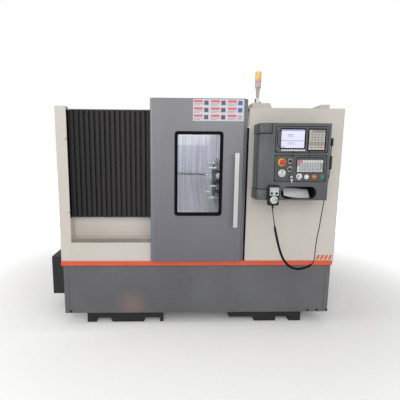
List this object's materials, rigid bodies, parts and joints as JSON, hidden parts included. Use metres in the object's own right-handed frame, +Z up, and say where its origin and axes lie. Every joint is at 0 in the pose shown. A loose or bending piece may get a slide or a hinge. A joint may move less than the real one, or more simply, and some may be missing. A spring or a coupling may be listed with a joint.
{
  "type": "cnc turning lathe",
  "caption": "Slant-bed CNC turning lathe with a sliding glazed door, corrugated side cover, swivelling operator panel with pendant, and a chuck and tool turret in the work area.",
  "frame": {"origin": "middle of the footprint on the floor", "axes": "+X to the operator's right, +Z up, the operator stands on the -Y side"},
  "size_m": [2.543, 1.784, 2.187],
  "materials": {
    "cream_paint": "satin powder coat",
    "door_grey_paint": "satin powder coat",
    "skirt_grey_paint": "satin powder coat",
    "cover_dark_paint": "satin powder coat",
    "orange_paint": "satin",
    "black_paint": "satin",
    "bed_iron": "painted casting",
    "grey_iron": "painted casting",
    "bright_steel": "ground",
    "dark_steel": "blackened",
    "stainless": "brushed",
    "belt_rubber": "matte",
    "frame_rubber": "matte",
    "window_glass": "clear",
    "bare_aluminium": "anodised",
    "panel_grey_paint": "satin",
    "bezel_plastic": "matte",
    "display_glass": "gloss",
    "key_plastic": "matte",
    "machine_keys": "matte",
    "red_plastic": "gloss",
    "white_plastic": "gloss",
    "orange_plastic": "gloss",
    "green_plastic": "gloss",
    "black_plastic": "matte",
    "booklet_paper": "matte",
    "cord_pvc": "satin",
    "amber_lens": "gloss",
    "red_lens": "gloss",
    "clear_lens": "gloss",
    "stem_grey": "satin"
  },
  "bodies": {
    "machine": {"bed_casting": "bed_iron", "headstock": "grey_iron", "spindle_motor": "black_paint", "drive_belt": "belt_rubber", "motor_cover": "black_paint", "front_skirt": "skirt_grey_paint", "side_skirts": "skirt_grey_paint", "rear_panel": "cream_paint", "trim_strip": "orange_paint", "left_end_panel": "cream_paint", "corrugated_cover": "cover_dark_paint", "lower_front_panel": "cream_paint", "right_cabinet": "cream_paint", "roof_panel": "cream_paint", "door_rails": "dark_steel", "splash_liner": "stainless", "way_cover_fixed": "stainless", "z_servo_motor": "black_paint", "panel_hinge_blocks": "panel_grey_paint", "tower_stand": "stem_grey", "tower_lens_amber": "amber_lens", "tower_lens_red": "red_lens", "tower_lens_clear": "clear_lens"},
    "door": {"door_panel": "door_grey_paint", "window_frame": "frame_rubber", "window_glass": "window_glass", "door_handle": "bare_aluminium"},
    "spindle": {"spindle": "bright_steel", "chuck_body": "bright_steel"},
    "jaw_1": {"chuck_jaw_1": "dark_steel"},
    "jaw_2": {"chuck_jaw_2": "dark_steel"},
    "jaw_3": {"chuck_jaw_3": "dark_steel"},
    "motor_shaft": {"motor_pulley": "bright_steel"},
    "screw": {"z_ballscrew": "bright_steel"},
    "mid_cover": {"way_cover_mid": "stainless"},
    "saddle": {"z_saddle": "grey_iron", "saddle_aprons": "stainless"},
    "cross_slide": {"x_slide": "grey_iron"},
    "turret": {"turret_disc": "dark_steel", "tool_set": "bright_steel"},
    "panel": {"panel_box": "panel_grey_paint", "cnc_unit": "bezel_plastic", "lcd_screen": "display_glass", "mdi_keypad": "key_plastic", "operator_plate": "bezel_plastic", "operator_keypad": "machine_keys", "manual": "booklet_paper", "pendant_body": "black_plastic", "pendant_cord": "cord_pvc", "cord_plug": "black_plastic"},
    "estop": {"estop_button": "red_plastic"},
    "handwheel": {"panel_handwheel": "bare_aluminium"},
    "feed": {"feed_knob": "black_plastic"},
    "speed": {"speed_knob": "black_plastic"},
    "key": {"key_switch": "bright_steel"},
    "mode": {"mode_selector": "bare_aluminium"},
    "white": {"button_white": "white_plastic"},
    "orange": {"button_orange": "orange_plastic"},
    "green": {"button_green": "green_plastic"},
    "dial": {"pendant_dial": "bare_aluminium"}
  },
  "joints": [
    {"name": "door_slide", "type": "slide", "parent": "machine", "child": "door", "axis": [-1, 0, 0], "range_m": [0, 0.62]},
    {"name": "spindle_spin", "type": "hinge", "parent": "machine", "child": "spindle", "pos_m": [-0.5, -0.1, 1.05], "axis": [1, 0, 0], "continuous": true},
    {"name": "motor_spin", "type": "hinge", "parent": "machine", "child": "motor_shaft", "pos_m": [-0.9, -0.12, 0.366], "axis": [1, 0, 0], "continuous": true},
    {"name": "jaw_1_slide", "type": "slide", "parent": "spindle", "child": "jaw_1", "axis": [0, 0, 1], "range_m": [-0.003, 0.005]},
    {"name": "jaw_2_slide", "type": "slide", "parent": "spindle", "child": "jaw_2", "axis": [0, -0.866, -0.5], "range_m": [-0.003, 0.005]},
    {"name": "jaw_3_slide", "type": "slide", "parent": "spindle", "child": "jaw_3", "axis": [0, 0.866, -0.5], "range_m": [-0.003, 0.005]},
    {"name": "z_slide", "type": "slide", "parent": "machine", "child": "saddle", "axis": [-1, 0, 0], "range_m": [0, 0.25]},
    {"name": "mid_cover_slide", "type": "slide", "parent": "machine", "child": "mid_cover", "axis": [-1, 0, 0], "range_m": [0, 0.125]},
    {"name": "z_screw_spin", "type": "hinge", "parent": "machine", "child": "screw", "pos_m": [0.5, 0.21466, 0.96161], "axis": [1, 0, 0], "continuous": true},
    {"name": "x_slide", "type": "slide", "parent": "saddle", "child": "cross_slide", "axis": [0, 0.7071, 0.7071], "range_m": [-0.03, 0.15]},
    {"name": "turret_index", "type": "hinge", "parent": "cross_slide", "child": "turret", "pos_m": [0.335, 0.08738, 1.23738], "axis": [1, 0, 0], "continuous": true},
    {"name": "panel_swivel", "type": "hinge", "parent": "machine", "child": "panel", "pos_m": [0.585, -0.761, 1.4], "axis": [0, 0, -1], "range_deg": [0, 85]},
    {"name": "estop_press", "type": "slide", "parent": "panel", "child": "estop", "axis": [0, 1, 0], "range_m": [0, 0.004], "stiffness_N_per_m": 900},
    {"name": "handwheel_spin", "type": "hinge", "parent": "panel", "child": "handwheel", "pos_m": [0.69703, -0.827, 1.34699], "axis": [0, -1, 0], "continuous": true},
    {"name": "feed_turn", "type": "hinge", "parent": "panel", "child": "feed", "pos_m": [0.76202, -0.827, 1.44096], "axis": [0, -1, 0], "range_deg": [-135, 135]},
    {"name": "speed_turn", "type": "hinge", "parent": "panel", "child": "speed", "pos_m": [0.76202, -0.827, 1.3789], "axis": [0, -1, 0], "range_deg": [-135, 135]},
    {"name": "key_turn", "type": "hinge", "parent": "panel", "child": "key", "pos_m": [0.76784, -0.827, 1.3198], "axis": [0, -1, 0], "range_deg": [0, 90]},
    {"name": "mode_turn", "type": "hinge", "parent": "panel", "child": "mode", "pos_m": [0.83817, -0.827, 1.3198], "axis": [0, -1, 0], "range_deg": [-45, 45]},
    {"name": "white_press", "type": "slide", "parent": "panel", "child": "white", "axis": [0, 1, 0], "range_m": [0, 0.004], "stiffness_N_per_m": 600},
    {"name": "orange_press", "type": "slide", "parent": "panel", "child": "orange", "axis": [0, 1, 0], "range_m": [0, 0.004], "stiffness_N_per_m": 600},
    {"name": "green_press", "type": "slide", "parent": "panel", "child": "green", "axis": [0, 1, 0], "range_m": [0, 0.004], "stiffness_N_per_m": 600},
    {"name": "dial_spin", "type": "hinge", "parent": "panel", "child": "dial", "pos_m": [0.635, -0.875, 1.144], "axis": [0, -1, 0], "continuous": true}
  ],
  "couplings": [
    {"joint": "motor_spin", "follows": "spindle_spin", "ratio": 1.2778},
    {"joint": "jaw_2_slide", "follows": "jaw_1_slide", "ratio": 1},
    {"joint": "jaw_3_slide", "follows": "jaw_1_slide", "ratio": 1},
    {"joint": "mid_cover_slide", "follows": "z_slide", "ratio": 0.5},
    {"joint": "z_screw_spin", "follows": "z_slide", "rad_per_m": 314.16}
  ]
}
